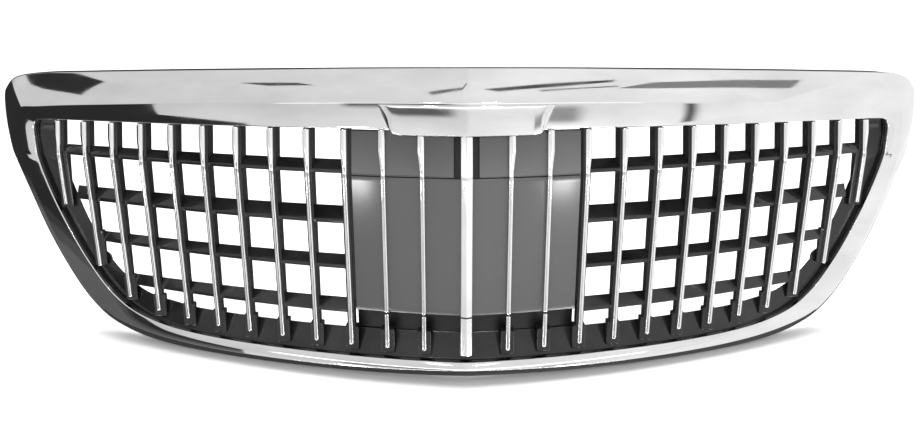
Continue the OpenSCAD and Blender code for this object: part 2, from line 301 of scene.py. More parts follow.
def softened(
    rings: Array, radii: Sequence[float], cuts: int = 4, crowns: Sequence[float] | None = None
) -> Array:
    """Sections with rounded corners and, where asked, crowned sides.

    A corner becomes the parabola between the two points that lie its radius away along
    its sides. A side between two corners gets four more points, raised by its crown
    times 4 t (1 - t).

    Args:
        rings: Section corners, as sections x corners x 3.
        radii: Radius at each corner.
        cuts: Points on each corner.
        crowns: Crown of the side after each corner, towards the front.

    Returns:
        The finer sections.
    """
    to_last, to_next = np.roll(rings, 1, 1) - rings, np.roll(rings, -1, 1) - rings
    r = np.array(radii, float)[None, :, None]
    r_last = np.minimum(r, SIDE_SHARE * np.linalg.norm(to_last, axis=2, keepdims=True))
    r_next = np.minimum(r, SIDE_SHARE * np.linalg.norm(to_next, axis=2, keepdims=True))
    first, last = rings + unit(to_last) * r_last, rings + unit(to_next) * r_next
    t = np.linspace(0, 1, cuts)[None, None, :, None]
    start, tip, end = first[:, :, None], rings[:, :, None], last[:, :, None]
    corner = (1 - t) ** 2 * start + 2 * t * (1 - t) * tip + t**2 * end
    after = np.roll(first, -1, 1)[:, :, None]
    u = SIDE_STOPS[None, None, :, None]
    side = end + (after - end) * u
    if crowns is not None:
        along = np.gradient(rings, axis=0)
        normal = unit(np.cross(along, to_next))
        normal *= np.where(normal[..., 1:2] > 0, -1, 1)
        side = side + 4 * u * (1 - u) * (normal * np.array(crowns, float)[None, :, None])[:, :, None]
    return np.concatenate([corner, side], 2).reshape(len(rings), -1, 3)


# ---------------------------------------------------------------- meshes

MOST_OUTSIDE = 0.8  # how far a piece may stand out of its node's box before it is reported
SHARP_ANGLE = math.radians(38)  # an edge that turns by more than this is drawn sharp
TUBE_STEPS = 48
TUBE_RADII = (0.3, 0.6, 0.4, 0.3)


@dataclass
class Piece:
    """One named piece, gathered from closed shells and then made into a mesh."""

    name: str
    slot: Slot
    points: list[Array] = field(default_factory=list)
    faces: list[list[tuple[int, ...]]] = field(default_factory=list)
    count: int = 0

    def loft(self, rings: Array, wrap: bool = False) -> "Piece":
        """Adds the closed surface that joins sections in order.

        Point (i, j) is joined to (i + 1, j) and (i, j + 1), with j running round the
        section. The shell is turned inside out if the sum of its cone volumes is
        negative.

        Args:
            rings: Sections x points x 3, in millimetres.
            wrap: True where the last section joins the first. Otherwise both ends are capped.

        Returns:
            The piece itself.
        """
        n, k = rings.shape[:2]
        i, j = np.meshgrid(np.arange(n if wrap else n - 1), np.arange(k), indexing="ij")
        ahead, beside = (i + 1) % n, (j + 1) % k
        quads = np.stack([i * k + j, i * k + beside, ahead * k + beside, ahead * k + j], -1).reshape(-1, 4)
        flat = rings.reshape(-1, 3)
        middle = flat.mean(0)
        a, b, c, d = (flat[quads[:, q]] - middle for q in range(4))
        volume = (np.cross(a, b) * c).sum() + (np.cross(a, c) * d).sum()
        caps = [] if wrap else [np.arange(k)[::-1], (n - 1) * k + np.arange(k)]
        if volume < 0:
            quads, caps = quads[:, ::-1], [cap[::-1] for cap in caps]
        self.points.append(flat)
        self.faces.append([tuple(f) for f in (quads + self.count).tolist()])
        self.faces.append([tuple((cap + self.count).tolist()) for cap in caps])
        self.count += len(flat)
        return self

    def tube(self, centre: Point, outer: float, inner: float, y_from: float, y_to: float) -> "Piece":
        """Adds a tube along Y, as a rounded wall section turned about its axis.

        Args:
            centre: The axis, as (x, z).
            outer: Outer radius.
            inner: Radius of the bore.
            y_from: Where the tube starts.
            y_to: Where it ends.

        Returns:
            The piece itself.
        """
        wall = ((outer, y_from), (outer, y_to), (inner, y_to), (inner, y_from))
        turn = np.linspace(0, 2 * math.pi, TUBE_STEPS, endpoint=False)
        x, z = centre
        rings = sections([(x + r * np.cos(turn), y, z + r * np.sin(turn)) for r, y in wall])
        return self.loft(softened(rings, TUBE_RADII, 3), wrap=True)

    def build(self, finish: bpy.types.Material, *nodes: str) -> bpy.types.Object:
        """Makes the mesh, keeps it inside the box of the nodes it stands for, and rides it on the body.

        Args:
            finish: Its material.
            *nodes: CAD nodes that it replaces.

        Returns:
            The new object.
        """
        points = np.vstack(self.points) * MM
        low = np.min([np.array(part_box(n)[0]) for n in nodes], 0)
        high = np.max([np.array(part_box(n)[1]) for n in nodes], 0)
        over = max((low - points.min(0)).max(), (points.max(0) - high).max()) / MM
        if over > MOST_OUTSIDE:
            log.warning("%s stands %.1f mm outside its frame node", self.name, over)
        points = np.clip(points, low, high)
        mesh = bpy.data.meshes.new(self.name)
        mesh.from_pydata(points.tolist(), [], [f for group in self.faces for f in group])
        mesh.polygons.foreach_set("use_smooth", np.ones(len(mesh.polygons), bool))
        mesh.set_sharp_from_angle(angle=SHARP_ANGLE)
        mesh.materials.append(finish)
        made = bpy.data.objects.new(self.name, mesh)
        bpy.context.scene.collection.objects.link(made)
        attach(made, BODY)
        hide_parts(*nodes)
        log.info("%s: %d faces", self.name, len(mesh.polygons))
        return made


# ---------------------------------------------------------------- finishes

CLOUD_LOW, CLOUD_HIGH = 0.3, 0.7  # the range that nearly all of a cloud pattern lies in


def grey(level: float, blue: float = 1.0) -> Colour:
    """A grey of one level, with its blue multiplied by a slight tint."""
    return level, level, level * blue


def fill_ramp(node: bpy.types.Node, stops: Sequence[tuple[float, Colour]]) -> None:
    """Gives a colour ramp its stops of (place, colour)."""
    band = node.color_ramp
    while len(band.elements) < len(stops):
        band.elements.new(0.5)
    for element, (place, colour) in zip(band.elements, stops):
        element.position, element.color = place, (*colour, 1)


class Finish:
    """A material under construction, with short calls for the nodes that the finishes share."""

    def __init__(self, name: str) -> None:
        """Starts the material and its object coordinates."""
        self.material = bpy.data.materials.new(name)
        self.material.use_nodes = True
        self.tree = self.material.node_tree
        self.shader = self.tree.nodes["Principled BSDF"]
        self.place = self.tree.nodes.new("ShaderNodeTexCoord").outputs["Object"]

    def set(self, **values: float | tuple[float, ...]) -> "Finish":
        """Sets constant values on the shader's own sockets, with spaces written as underscores."""
        for name, value in values.items():
            self.shader.inputs[name.replace("_", " ")].default_value = value
        return self

    def noise(self, scale: float, detail: float = 2.0, stretch: Place = (1, 1, 1)) -> Socket:
        """A cloud pattern on the object coordinates.

        Args:
            scale: Clouds to a metre.
            detail: How many finer layers it has.
            stretch: Scale along each axis.

        Returns:
            The pattern's value.
        """
        mapping = self.tree.nodes.new("ShaderNodeMapping")
        mapping.inputs["Scale"].default_value = stretch
        node = self.tree.nodes.new("ShaderNodeTexNoise")
        node.inputs["Scale"].default_value = scale
        node.inputs["Detail"].default_value = detail
        self.tree.links.new(self.place, mapping.inputs["Vector"])
        self.tree.links.new(mapping.outputs["Vector"], node.inputs["Vector"])
        return node.outputs["Fac"]

    def tones(
        self, value: Socket, dark: Colour, light: Colour, low: float = CLOUD_LOW, high: float = CLOUD_HIGH
    ) -> "Finish":
        """Colours the surface by a pattern.

        Args:
            value: The pattern.
            dark: Colour where the pattern is low or less.
            light: Colour where the pattern is high or more.
            low: Where the mixing starts.
            high: Where it ends.

        Returns:
            The finish itself.
        """
        node = self.tree.nodes.new("ShaderNodeValToRGB")
        fill_ramp(node, ((low, dark), (high, light)))
        self.tree.links.new(value, node.inputs["Fac"])
        self.tree.links.new(node.outputs["Color"], self.shader.inputs["Base Color"])
        return self

    def gloss(self, value: Socket, smooth: float, rough: float) -> "Finish":
        """Makes the surface smoother where a pattern is low and rougher where it is high."""
        node = self.tree.nodes.new("ShaderNodeMapRange")
        limits = {"From Min": CLOUD_LOW, "From Max": CLOUD_HIGH, "To Min": smooth, "To Max": rough}
        for name, number in limits.items():
            node.inputs[name].default_value = number
        self.tree.links.new(value, node.inputs["Value"])
        self.tree.links.new(node.outputs["Result"], self.shader.inputs["Roughness"])
        return self

    def bump(self, value: Socket, strength: float, distance: float) -> "Finish":
        """Raises the surface by a pattern.

        Args:
            value: The pattern.
            strength: Share of the full effect.
            distance: Full height, in metres.

        Returns:
            The finish itself.
        """
        node = self.tree.nodes.new("ShaderNodeBump")
        node.inputs["Strength"].default_value = strength
        node.inputs["Distance"].default_value = distance
        self.tree.links.new(value, node.inputs["Height"])
        self.tree.links.new(node.outputs["Normal"], self.shader.inputs["Normal"])
        return self


@dataclass(frozen=True)
class Chrome:
    """Bright plating over a moulding: a faint haze in flat clouds, and a very slight swell below it."""

    name: str
    bright: float = 0.86
    dull: float = 0.74
    smooth: float = 0.035
    hazy: float = 0.085
    swell: float = 0.0006
    swell_strength: float = 0.35
    haze_scale: float = 14.0
    haze_stretch: Place = (1, 1, 2.5)
    gloss_scale: float = 45.0
    swell_scale: float = 9.0

    def make(self) -> bpy.types.Material:
        """The finish as a material."""
        f = Finish(self.name).set(Metallic=1.0, Specular_IOR_Level=0.5)
        haze = f.noise(self.haze_scale, 4, self.haze_stretch)
        f.tones(haze, grey(self.dull, 1.01), grey(self.bright, 1.005))
        f.gloss(f.noise(self.gloss_scale, 3), self.smooth, self.hazy)
        return f.bump(f.noise(self.swell_scale, 1), self.swell_strength, self.swell).material


@dataclass(frozen=True)
class GlossBlack:
    """Polished black plastic: deep colour that varies a little, a fine grain and a clear top."""

    name: str
    deep: float = 0.006
    light: float = 0.020
    smooth: float = 0.12
    rough: float = 0.24
    coat: float = 0.25
    tone_scale: float = 22.0
    gloss_scale: float = 25.0
    grain_scale: float = 400.0
    grain_height: float = 0.0001

    def make(self) -> bpy.types.Material:
        """The finish as a material."""
        f = Finish(self.name).set(Metallic=0.0, IOR=1.45, Coat_Weight=self.coat, Coat_Roughness=0.05)
        f.tones(f.noise(self.tone_scale, 4), grey(self.deep, 1.1), grey(self.light, 1.05))
        f.gloss(f.noise(self.gloss_scale, 3), self.smooth, self.rough)
        return f.bump(f.noise(self.grain_scale, 2), 0.06, self.grain_height).material


@dataclass(frozen=True)
class CoverGloss:
    """The dark glossy sheet over the sensor: a deep grey with wide, soft clouds, under a clear coat."""

    name: str
    deep: float = 0.068
    light: float = 0.10
    smooth: float = 0.18
    rough: float = 0.26
    cloud_scale: float = 4.0
    cloud_stretch: Place = (1.6, 1, 0.7)
    gloss_scale: float = 5.0

    def make(self) -> bpy.types.Material:
        """The finish as a material."""
        f = Finish(self.name).set(Metallic=0.35, IOR=1.5, Coat_Weight=0.9, Coat_Roughness=0.11)
        clouds = f.noise(self.cloud_scale, 1, self.cloud_stretch)
        f.tones(clouds, grey(self.deep), grey(self.light, 1.02), 0.35, 0.68)
        return f.gloss(f.noise(self.gloss_scale, 2), self.smooth, self.rough).material


@dataclass(frozen=True)
class Steel:
    """Pressed and plated steel, with a rolled grain along X and dull clouds."""

    name: str
    deep: Colour = (0.32, 0.33, 0.34)
    light: Colour = (0.52, 0.53, 0.55)
    smooth: float = 0.28
    rough: float = 0.5
    grain_scale: float = 260.0
    grain_stretch: Place = (0.12, 1, 1)
    grain_height: float = 0.0001
    gloss_scale: float = 35.0

    def make(self) -> bpy.types.Material:
        """The finish as a material."""
        f = Finish(self.name).set(Metallic=0.95)
        grain = f.noise(self.grain_scale, 3, self.grain_stretch)
        f.tones(grain, self.deep, self.light)
        f.gloss(f.noise(self.gloss_scale, 4), self.smooth, self.rough)
        return f.bump(grain, 0.3, self.grain_height).material


# ---------------------------------------------------------------- surround and nose


@dataclass
class Surround:
    """The chromed moulding round the opening."""

    finish: bpy.types.Material
    wall: float = 3.0
    return_depth: float = 14.0
    lip_proud: float = 2.0
    ridge_proud: float = 6.0
    edge_back: float = 9.0
    lip_land: float = 4.0
    radii: tuple[float, ...] = (1.1, 1.0, 2.2, 0.8, 0.8, 1, 0.5, 0.5, 0.5)
    crowns: tuple[float, ...] = (0.35, 1.1, 0, 0, 0, 0, 0, 0, 0)

    def moulding(self) -> bpy.types.Object:
        """Nine rings joined as a closed section carried round the opening, its front sides crowned."""
        lip, ridge, edge = LIP.loop(), RIDGE.loop(), EDGE.loop()
        inner = grown(edge, -self.wall)
        back = self.edge_back + self.return_depth
        rings = np.stack([
            on_front(lip, -self.lip_proud),
            on_front(ridge, -self.ridge_proud),
            on_front(edge, self.edge_back),
            on_front(edge, back),
            on_front(inner, back),
            on_front(inner, self.edge_back + self.wall),
            on_front(ridge, self.wall - self.ridge_proud),
            on_front(grown(lip, self.lip_land), self.wall),
            on_front(lip, self.wall),
        ], 1)
        rings = softened(rings, self.radii, 5, self.crowns)
        return Piece("surround", Slot.SURROUND).loft(rings, wrap=True).build(self.finish, "surround_frame")


@dataclass
class Nose:
    """The blank trapezoid trim on the surround's nose."""

    finish: bpy.types.Material
    half_w: float = 75.0
    low_half_w: float = 57.0
    low_z: float = 178.5
    height: float = 26.0
    low_proud: float = 7.0
    high_proud: float = 11.0
    depth: float = 3.1
    climb: tuple[Point, ...] = ((0, 0), (57, 0.01), (63, 0.06), (66, 0.2), (75, 0.96))
    radii: tuple[float, ...] = (1.4, 1.2, 0.6, 0.6)
    crowns: tuple[float, ...] = (0.5, 0, 0, 0)

    def trim(self) -> bpy.types.Object:
        """A four-cornered section carried across.

        Its lower corner climbs along the slanted ends, by the share of the height that
        climb gives at each (|x|, share).
        """
        flat = self.low_half_w - 1
        x = np.concatenate([
            np.linspace(-self.half_w, -self.low_half_w, 26),
            np.linspace(-flat, flat, STATIONS),
            np.linspace(self.low_half_w, self.half_w, 26),
        ])
        low = self.low_z + self.height * np.interp(np.abs(x), *np.transpose(self.climb))
        high = np.full_like(x, self.low_z + self.height)
        low_y, high_y = FACE.front(x, low) - self.low_proud, FACE.front(x, high) - self.high_proud
        rings = sections([
            (x, low_y, low), (x, high_y, high),
            (x, high_y + self.depth, high), (x, low_y + self.depth, low),
        ])
        rings = softened(rings, self.radii, 5, self.crowns)
        return Piece("nose_cover", Slot.SURROUND).loft(rings).build(self.finish, "nose_trim")


# ---------------------------------------------------------------- bars and strips

BARS = range(1, 13)
STRIPS, GRID_BARS = BARS[:2], BARS[2:]


@dataclass
class Bars:
    """The chromed bars, the strips over the cover and the strips' feet."""

    finish: bpy.types.Material
    first_x: float = 38.0
    pitch: float = 33.9
    width: float = 4.0
    top_width: float = 6.0
    depth: float = 5.0
    crown: float = 0.6
    centre_w: float = 10.5
    shoulder: float = 2.0
    strip_low_z: float = 16.0
    seam: float = 1.5
    lip_gap: float = 1.0
    foot_heights: tuple[Point, ...] = (
        (0, -22), (38, -19.5), (240, -17), (308, -11), (343, -1.5), (377, 28), (411, 91),
    )
    crease_soft: float = 1.6
    crease_reach: float = 7.0
    widen_from: float = 5.0
    widen_over: float = 17.0
    end_steps: tuple[float, ...] = (0, 0.15, 0.4, 0.8)
    end_draw: float = 0.4
    radii: tuple[float, ...] = (1.3, 1.3, 0.4, 0.4)
    centre_radii: tuple[float, ...] = (0.4, 0.4, 1.0, 0.7, 1.0)

    def place(self, side: Side, i: int) -> float:
        """Where bar i of a side stands along X."""
        return side.value * (self.first_x + self.pitch * (i - 1))

    def low(self, x: float) -> float:
        """Height of a bar's lower end, by straight pieces between the foot heights."""
        return float(np.interp(abs(x), *np.transpose(self.foot_heights)))

    def high(self, x: float) -> float:
        """Height of a bar's upper end, just under the surround's lip."""
        return height_at(LIP_HIGH, x) - self.lip_gap

    def heights(self, low: float, high: float) -> Array:
        """Section heights, closer together at the ends, round the crease and where a bar widens."""
        ends = np.array(self.end_steps)
        widened = self.widen_from + self.widen_over
        marks = np.concatenate([
            low + ends,
            np.linspace(low + 2, high - 2, 14),
            high - ends,
            FACE.ridge_z + np.linspace(-self.crease_reach, self.crease_reach, 15),
            FACE.ridge_z + np.linspace(self.widen_from, widened, 6),
        ])
        return np.unique(np.round(marks[(marks >= low) & (marks <= high)], 3))

    def rings(self, x: float, low: float, high: float, widens: bool) -> Array:
        """Sections of a bar: a rectangle with rounded front corners and a crowned front.

        Both ends draw in by end_draw times 1 less the square root of the share of
        their last end step.

        Known fault: the heights are rounded to a thousandth, so an end section may lie
        up to half a thousandth past its end. The square root has no value there, and
        the corners of that section and the crown next to it are left undefined.

        Args:
            x: Where the bar stands.
            low: Its lower end.
            high: Its upper end.
            widens: Whether its outer side moves out above the crease.

        Returns:
            The sections, from the bottom up.
        """
        z = self.heights(low, high)
        direction = -1 if x < 0 else 1
        extra = self.top_width - self.width if widens else 0.0
        above = z - FACE.ridge_z - self.widen_from
        near = np.minimum(np.minimum(z - low, high - z) / self.end_steps[-1], 1)
        draw = self.end_draw * (1 - np.sqrt(near))
        outer = x + direction * (self.width / 2 + extra * np.clip(above / self.widen_over, 0, 1) - draw)
        inner = x + direction * (draw - self.width / 2)
        face = FACE.sweep(np.array(x)) + FACE.lean(z, self.crease_soft)
        front, back = face + self.crown + draw, face + self.depth - draw
        rings = sections([(inner, front, z), (outer, front, z), (outer, back, z), (inner, back, z)])
        return softened(rings, self.radii, 5, (self.crown, 0, 0, 0))

    def centre_rings(self, low: float, high: float) -> Array:
        """Sections of the centre strip: five corners, the front one being its spine."""
        z = self.heights(low, high)
        face = FACE.sweep(np.array(0.0)) + FACE.lean(z, self.crease_soft)
        half, back, side = self.centre_w / 2, face + self.depth, face + self.shoulder
        rings = sections([
            (-half, back, z), (half, back, z), (half, side, z), (0.0, face, z), (-half, side, z),
        ])
        return softened(rings, self.centre_radii, 5)

    def build(self, name: str, node: str, rings: Array) -> None:
        """Makes one piece from its sections."""
        Piece(name, Slot.BARS).loft(rings).build(self.finish, node)

    def grid_bars(self) -> None:
        """The twenty bars in front of the louvres."""
        for side in Side:
            for i in GRID_BARS:
                x = self.place(side, i)
                rings = self.rings(x, self.low(x), self.high(x), True)
                self.build(f"chrome_bar_{side.word}_{i}", f"bar_{side.word}_{i}", rings)

    def strips(self) -> None:
        """The five strips over the cover, and the feet below their seams."""
        strip_low, foot_high = self.strip_low_z, self.strip_low_z - self.seam
        self.build("chrome_strip_centre", "cover_strip_centre", self.centre_rings(strip_low, self.high(0)))
        self.build("chrome_foot_centre", "strip_foot_centre", self.centre_rings(self.low(0), foot_high))
        for side in Side:
            for i in STRIPS:
                x, name = self.place(side, i), f"{side.word}_{i}"
                strip = self.rings(x, strip_low, self.high(x), True)
                foot = self.rings(x, self.low(x), foot_high, False)
                self.build(f"chrome_strip_{name}", f"cover_strip_{name}", strip)
                self.build(f"chrome_foot_{name}", f"strip_foot_{name}", foot)


# ---------------------------------------------------------------- black insert


@dataclass(frozen=True)
class Boss:
    """A bracket boss of the right side: its centre in front view and the depth of its open end."""

    x: float
    z: float
    end_y: float


@dataclass(frozen=True)
class Slat:
    """A louvre slat: the height of its front lower edge, its rise to the rear, and where it ends."""

    front_z: float
    rise: float
    to_x: float


@dataclass
class Insert:
    """The black insert: its border with four bosses, the sockets, and the louvres with their fins."""

    finish: bpy.types.Material
    bars: Bars
    border_front: float = 3.4
    border_step: float = 6.4
    border_wall: float = 3.0
    border_low: float = 5.0
    border_high: float = 14.0
    lip_clear: float = 1.0
    border_radii: tuple[float, ...] = (0.5, 0.5, 0.5, 1.0, 0.6, 0.4)
    bosses: tuple[Boss, ...] = (Boss(250, 193, -43.0), Boss(389, 25, -3.0))
    boss_r: float = 6.0
    boss_front: float = 5.0
    pilot_r: float = 2.2
    socket_half: float = 6.0
    socket_lift: float = 5.0
    socket_toe: float = 6.5
    sill_lift: float = 3.2
    socket_ends: tuple[Point, ...] = ((6, 0.8), (5.7, 0.35), (5.2, 0))
    socket_radii: tuple[float, ...] = (1.0, 0.5, 0.3, 0.3, 0.3)
    fin_t: float = 7.0
    fin_over: float = 0.6
    fin_radii: tuple[float, ...] = (0.9, 0.9, 0.6, 0.6)
    slat_t: float = 3.5
    slat_front: float = 6.0
    slat_short: float = 1.0
    slat_radii: tuple[float, ...] = (1.0, 1.0, 0.6, 0.6)
    slats: tuple[Slat, ...] = (
        Slat(143, 10.5, 404), Slat(97, 14, 397), Slat(54, 11, 370), Slat(11, 12, 336),
    )

    def border(self) -> bpy.types.Object:
        """Six rings joined as a closed section carried round the opening, with a tube for each boss."""
        lip, throat = LIP.loop(), THROAT.loop()
        outer, inner = grown(lip, self.border_low, self.border_high), grown(lip, self.lip_clear)
        rings = np.stack([
            on_front(outer, self.border_front),
            on_front(outer, self.border_step + self.border_wall),
            on_rear(grown(throat, self.border_wall), self.border_wall),
            on_rear(throat, self.border_wall),
            on_front(inner, self.border_step),
            on_front(inner, self.border_front),
        ], 1)
        piece = Piece("insert_rim", Slot.INSERT).loft(softened(rings, self.border_radii), wrap=True)
        for side in Side:
            for boss in self.bosses:
                start = float(FACE.front(np.array(boss.x), np.array(boss.z))) + self.boss_front
                piece.tube((side.value * boss.x, boss.z), self.boss_r, self.pilot_r, start, boss.end_y)
        return piece.build(self.finish, "insert_border")

    def sill(self, curve: Array, x: float) -> float:
        """Height of a low curve under the outer side of the socket at x."""
        return height_at(curve, abs(x) + self.socket_half)

    def socket(self, piece: Piece, x: float) -> None:
        """Adds a socket: a five-cornered side view carried across, drawn in at both ends.

        Args:
            piece: The piece that it joins.
            x: Where its bar stands.
        """
        top = self.sill(THROAT_LOW, x) + self.socket_lift
        rest = self.sill(THROAT_LOW, x) + self.sill_lift
        low = self.sill(LIP_LOW, x) + self.sill_lift
        at, z = np.full(5, float(x)), np.array([top, top, rest, low, low])
        front, rear = FACE.front(at, z) + self.bars.depth, FACE.rear(at, z)
        toe = FACE.front(at, z) + self.socket_toe
        side_view = np.stack([[front[0], rear[1], rear[2], toe[3], front[4]], z], 1)
        middle = side_view.mean(0)
        reach = np.linalg.norm(side_view - middle, axis=1, keepdims=True)
        marks = [(-u, inset) for u, inset in self.socket_ends] + [*reversed(self.socket_ends)]
        drawn = [side_view + (middle - side_view) / reach * np.minimum(inset, reach) for _, inset in marks]
        rings = np.stack([np.insert(view, 0, x + u, 1) for view, (u, _) in zip(drawn, marks)])
        piece.loft(softened(rings, self.socket_radii))

    def sockets(self) -> bpy.types.Object:
        """The sockets that hold every bar's foot on the sill."""
        piece = Piece("foot_sockets", Slot.INSERT)
        self.socket(piece, 0)
        for side in Side:
            for i in BARS:
                self.socket(piece, self.bars.place(side, i))
        return piece.build(self.finish, "bar_sockets")

    def fin(self, piece: Piece, x: float) -> None:
        """Adds the fin behind a bar: a rectangle from the bar's back to the insert's, carried upwards.

        Args:
            piece: The piece that it joins.
            x: Where its bar stands.
        """
        low = self.sill(THROAT_LOW, x) + self.socket_lift
        high = height_at(LIP_HIGH, x) + self.fin_over
        z = np.unique(np.concatenate([np.linspace(low, high, 12), FACE.ridge_z + np.linspace(-3, 3, 5)]))
        z = z[(z >= low) & (z <= high)]
        at, half = np.full_like(z, x), self.fin_t / 2
        front, rear = FACE.front(at, z) + self.bars.depth, FACE.rear(at, z)
        corners = ((-half, front), (half, front), (half, rear), (-half, rear))
        piece.loft(softened(sections([(at + u, y, z) for u, y in corners]), self.fin_radii))

    def slat(self, piece: Piece, side: Side, slat: Slat) -> None:
        """Adds a louvre slat: a four-cornered section that climbs to the rear, carried out along the bow.

        Args:
            piece: The piece that it joins.
            side: Its side.
            slat: Its sizes.
        """
        start = self.bars.place(Side.RIGHT, GRID_BARS[0])
        x = side.value * np.linspace(start, slat.to_x, STATIONS)
        level = np.full_like(x, slat.front_z)
        front, rear = FACE.front(x, level) + self.slat_front, FACE.rear(x, level) - self.slat_short
        corners = ((front, 0), (front, self.slat_t), (rear, slat.rise), (rear, slat.rise - self.slat_t))
        piece.loft(softened(sections([(x, y, level + up) for y, up in corners]), self.slat_radii, 5))

    def louvres(self) -> None:
        """Both louvre grids."""
        for side in Side:
            piece = Piece(f"louvres_{side.word}", Slot.INSERT)
            for i in GRID_BARS:
                self.fin(piece, self.bars.place(side, i))
            for slat in self.slats:
                self.slat(piece, side, slat)
            piece.build(self.finish, f"louvre_grid_{side.word}")


# ---------------------------------------------------------------- centre cover


@dataclass
class Cover:
    """The glossy panes over the sensor and the black sheet that carries them."""

    gloss: bpy.types.Material
    # black: the carrier's finish, its own black darkened further as painted shade for the cavity under the
    # panes.
    black: bpy.types.Material
    half_w: float = 100.0
    low_z: float = 15.0
    high_z: float = 181.0
    crease_gap: float = 0.8
    upper_gap: float = 11.0
    front: float = 5.7
    thickness: float = 2.5
    pane_radii: tuple[float, ...] = (0.7, 0.7, 0.4, 0.4)
    carrier_front: float = 8.5
    carrier_wall: float = 3.0
    carrier_over: float = 1.0
    carrier_radius: float = 0.5
    apron_front: float = 20.0
    apron_low_z: float = -9.0

    def pane(self, name: str, node: str, across: Point, low: float, high: float) -> bpy.types.Object:
        """One pane: a thin four-cornered section carried across along the bow.

        Args:
            name: The piece's name.
            node: The node it stands for.
            across: Its left and right ends.
            low: Its lower edge.
            high: Its upper edge.

        Returns:
            The pane.
        """
        back = self.front + self.thickness
        rows = ((self.front, low), (self.front, high), (back, high), (back, low))
        rings = softened(face_sections(np.linspace(*across, STATIONS), rows), self.pane_radii)
        return Piece(name, Slot.COVER).loft(rings).build(self.gloss, node)

    def panes(self) -> None:
        """The lower pane, then the upper ones, which leave room for the centre strip."""
        seam_low, seam_high = FACE.ridge_z - self.crease_gap / 2, FACE.ridge_z + self.crease_gap / 2
        right, left = (self.upper_gap, self.half_w), (-self.half_w, -self.upper_gap)
        self.pane("cover_sheet_lower", "cover_pane_lower", (left[0], right[1]), self.low_z, seam_low)
        self.pane("cover_sheet_right", "cover_pane_upper_right", right, seam_high, self.high_z)
        self.pane("cover_sheet_left", "cover_pane_upper_left", left, seam_high, self.high_z)

    def carrier(self) -> bpy.types.Object:
        """The sheet behind the panes, with its shelf and apron: a ten-cornered section carried across."""
        reach = self.half_w + self.carrier_over
        front, back = self.carrier_front, self.carrier_front + self.carrier_wall
        shelf_z, apron_back = self.low_z + self.carrier_wall, self.apron_front + self.carrier_wall
        rows = (
            (front, self.low_z), (front, FACE.ridge_z), (front, self.high_z),
            (back, self.high_z), (back, FACE.ridge_z), (back, shelf_z),
            (apron_back, shelf_z), (apron_back, self.apron_low_z),
            (self.apron_front, self.apron_low_z), (self.apron_front, self.low_z),
        )
        rings = face_sections(np.linspace(-reach, reach, STATIONS), rows)
        rings = softened(rings, [self.carrier_radius] * len(rows), 3)
        return Piece("sensor_carrier", Slot.INSERT).loft(rings).build(self.black, "cover_carrier")


# ---------------------------------------------------------------- brackets


@dataclass
class Brackets:
    """The steel brackets and screws, whose frame nodes keep their shape and get a finish."""

    finish: bpy.types.Material

    def dress(self) -> None:
        """Puts the steel on every bracket and on the screws."""
        names = [f"{level}_bracket_{side.word}" for level in ("upper", "lower") for side in Side]
        for name in [*names, "bracket_screws"]:
            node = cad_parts[name]
            if not node.data.materials:
                node.data.materials.append(self.finish)
            for index in range(len(node.material_slots)):
                node.material_slots[index].material = self.finish
            log.info("%s: steel", name)


# ---------------------------------------------------------------- studio


def block(a: Point, b: Point) -> tuple[Point, ...]:
    """The corners of a rectangle, from its spans along two axes."""
    return (a[0], b[0]), (a[1], b[0]), (a[1], b[1]), (a[0], b[1])


@dataclass(frozen=True)
class Card:
    """A flat card that only reflections see.

    It lies in the plane where one axis has the value at. Its outline gives the other
    two axes, in order.
    """

    name: str
    axis: Axis
    at: float
    level: float
    outline: tuple[Point, ...]

    def hang(self) -> None:
        """Puts the card up for reflections alone, so that it casts no shade and hides nothing."""
        corners = np.insert(np.array(self.outline, float), self.axis.value, self.at, 1)
        mesh = bpy.data.meshes.new(self.name)
        mesh.from_pydata(corners.tolist(), [], [tuple(range(len(corners)))])
        f = Finish(self.name).set(Roughness=1.0, Base_Color=(0, 0, 0, 1), Emission_Strength=self.level)
        f.set(Emission_Color=(1, 1, 1, 1), Specular_IOR_Level=0.0)
        mesh.materials.append(f.material)
        made = bpy.data.objects.new(self.name, mesh)
        made.visible_camera = made.visible_diffuse = made.visible_shadow = False
        made.visible_transmission = made.visible_volume_scatter = False
        bpy.context.scene.collection.objects.link(made)
        made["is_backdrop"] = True


WALL = (-0.75, 0.6)  # the span along Y of the side cards
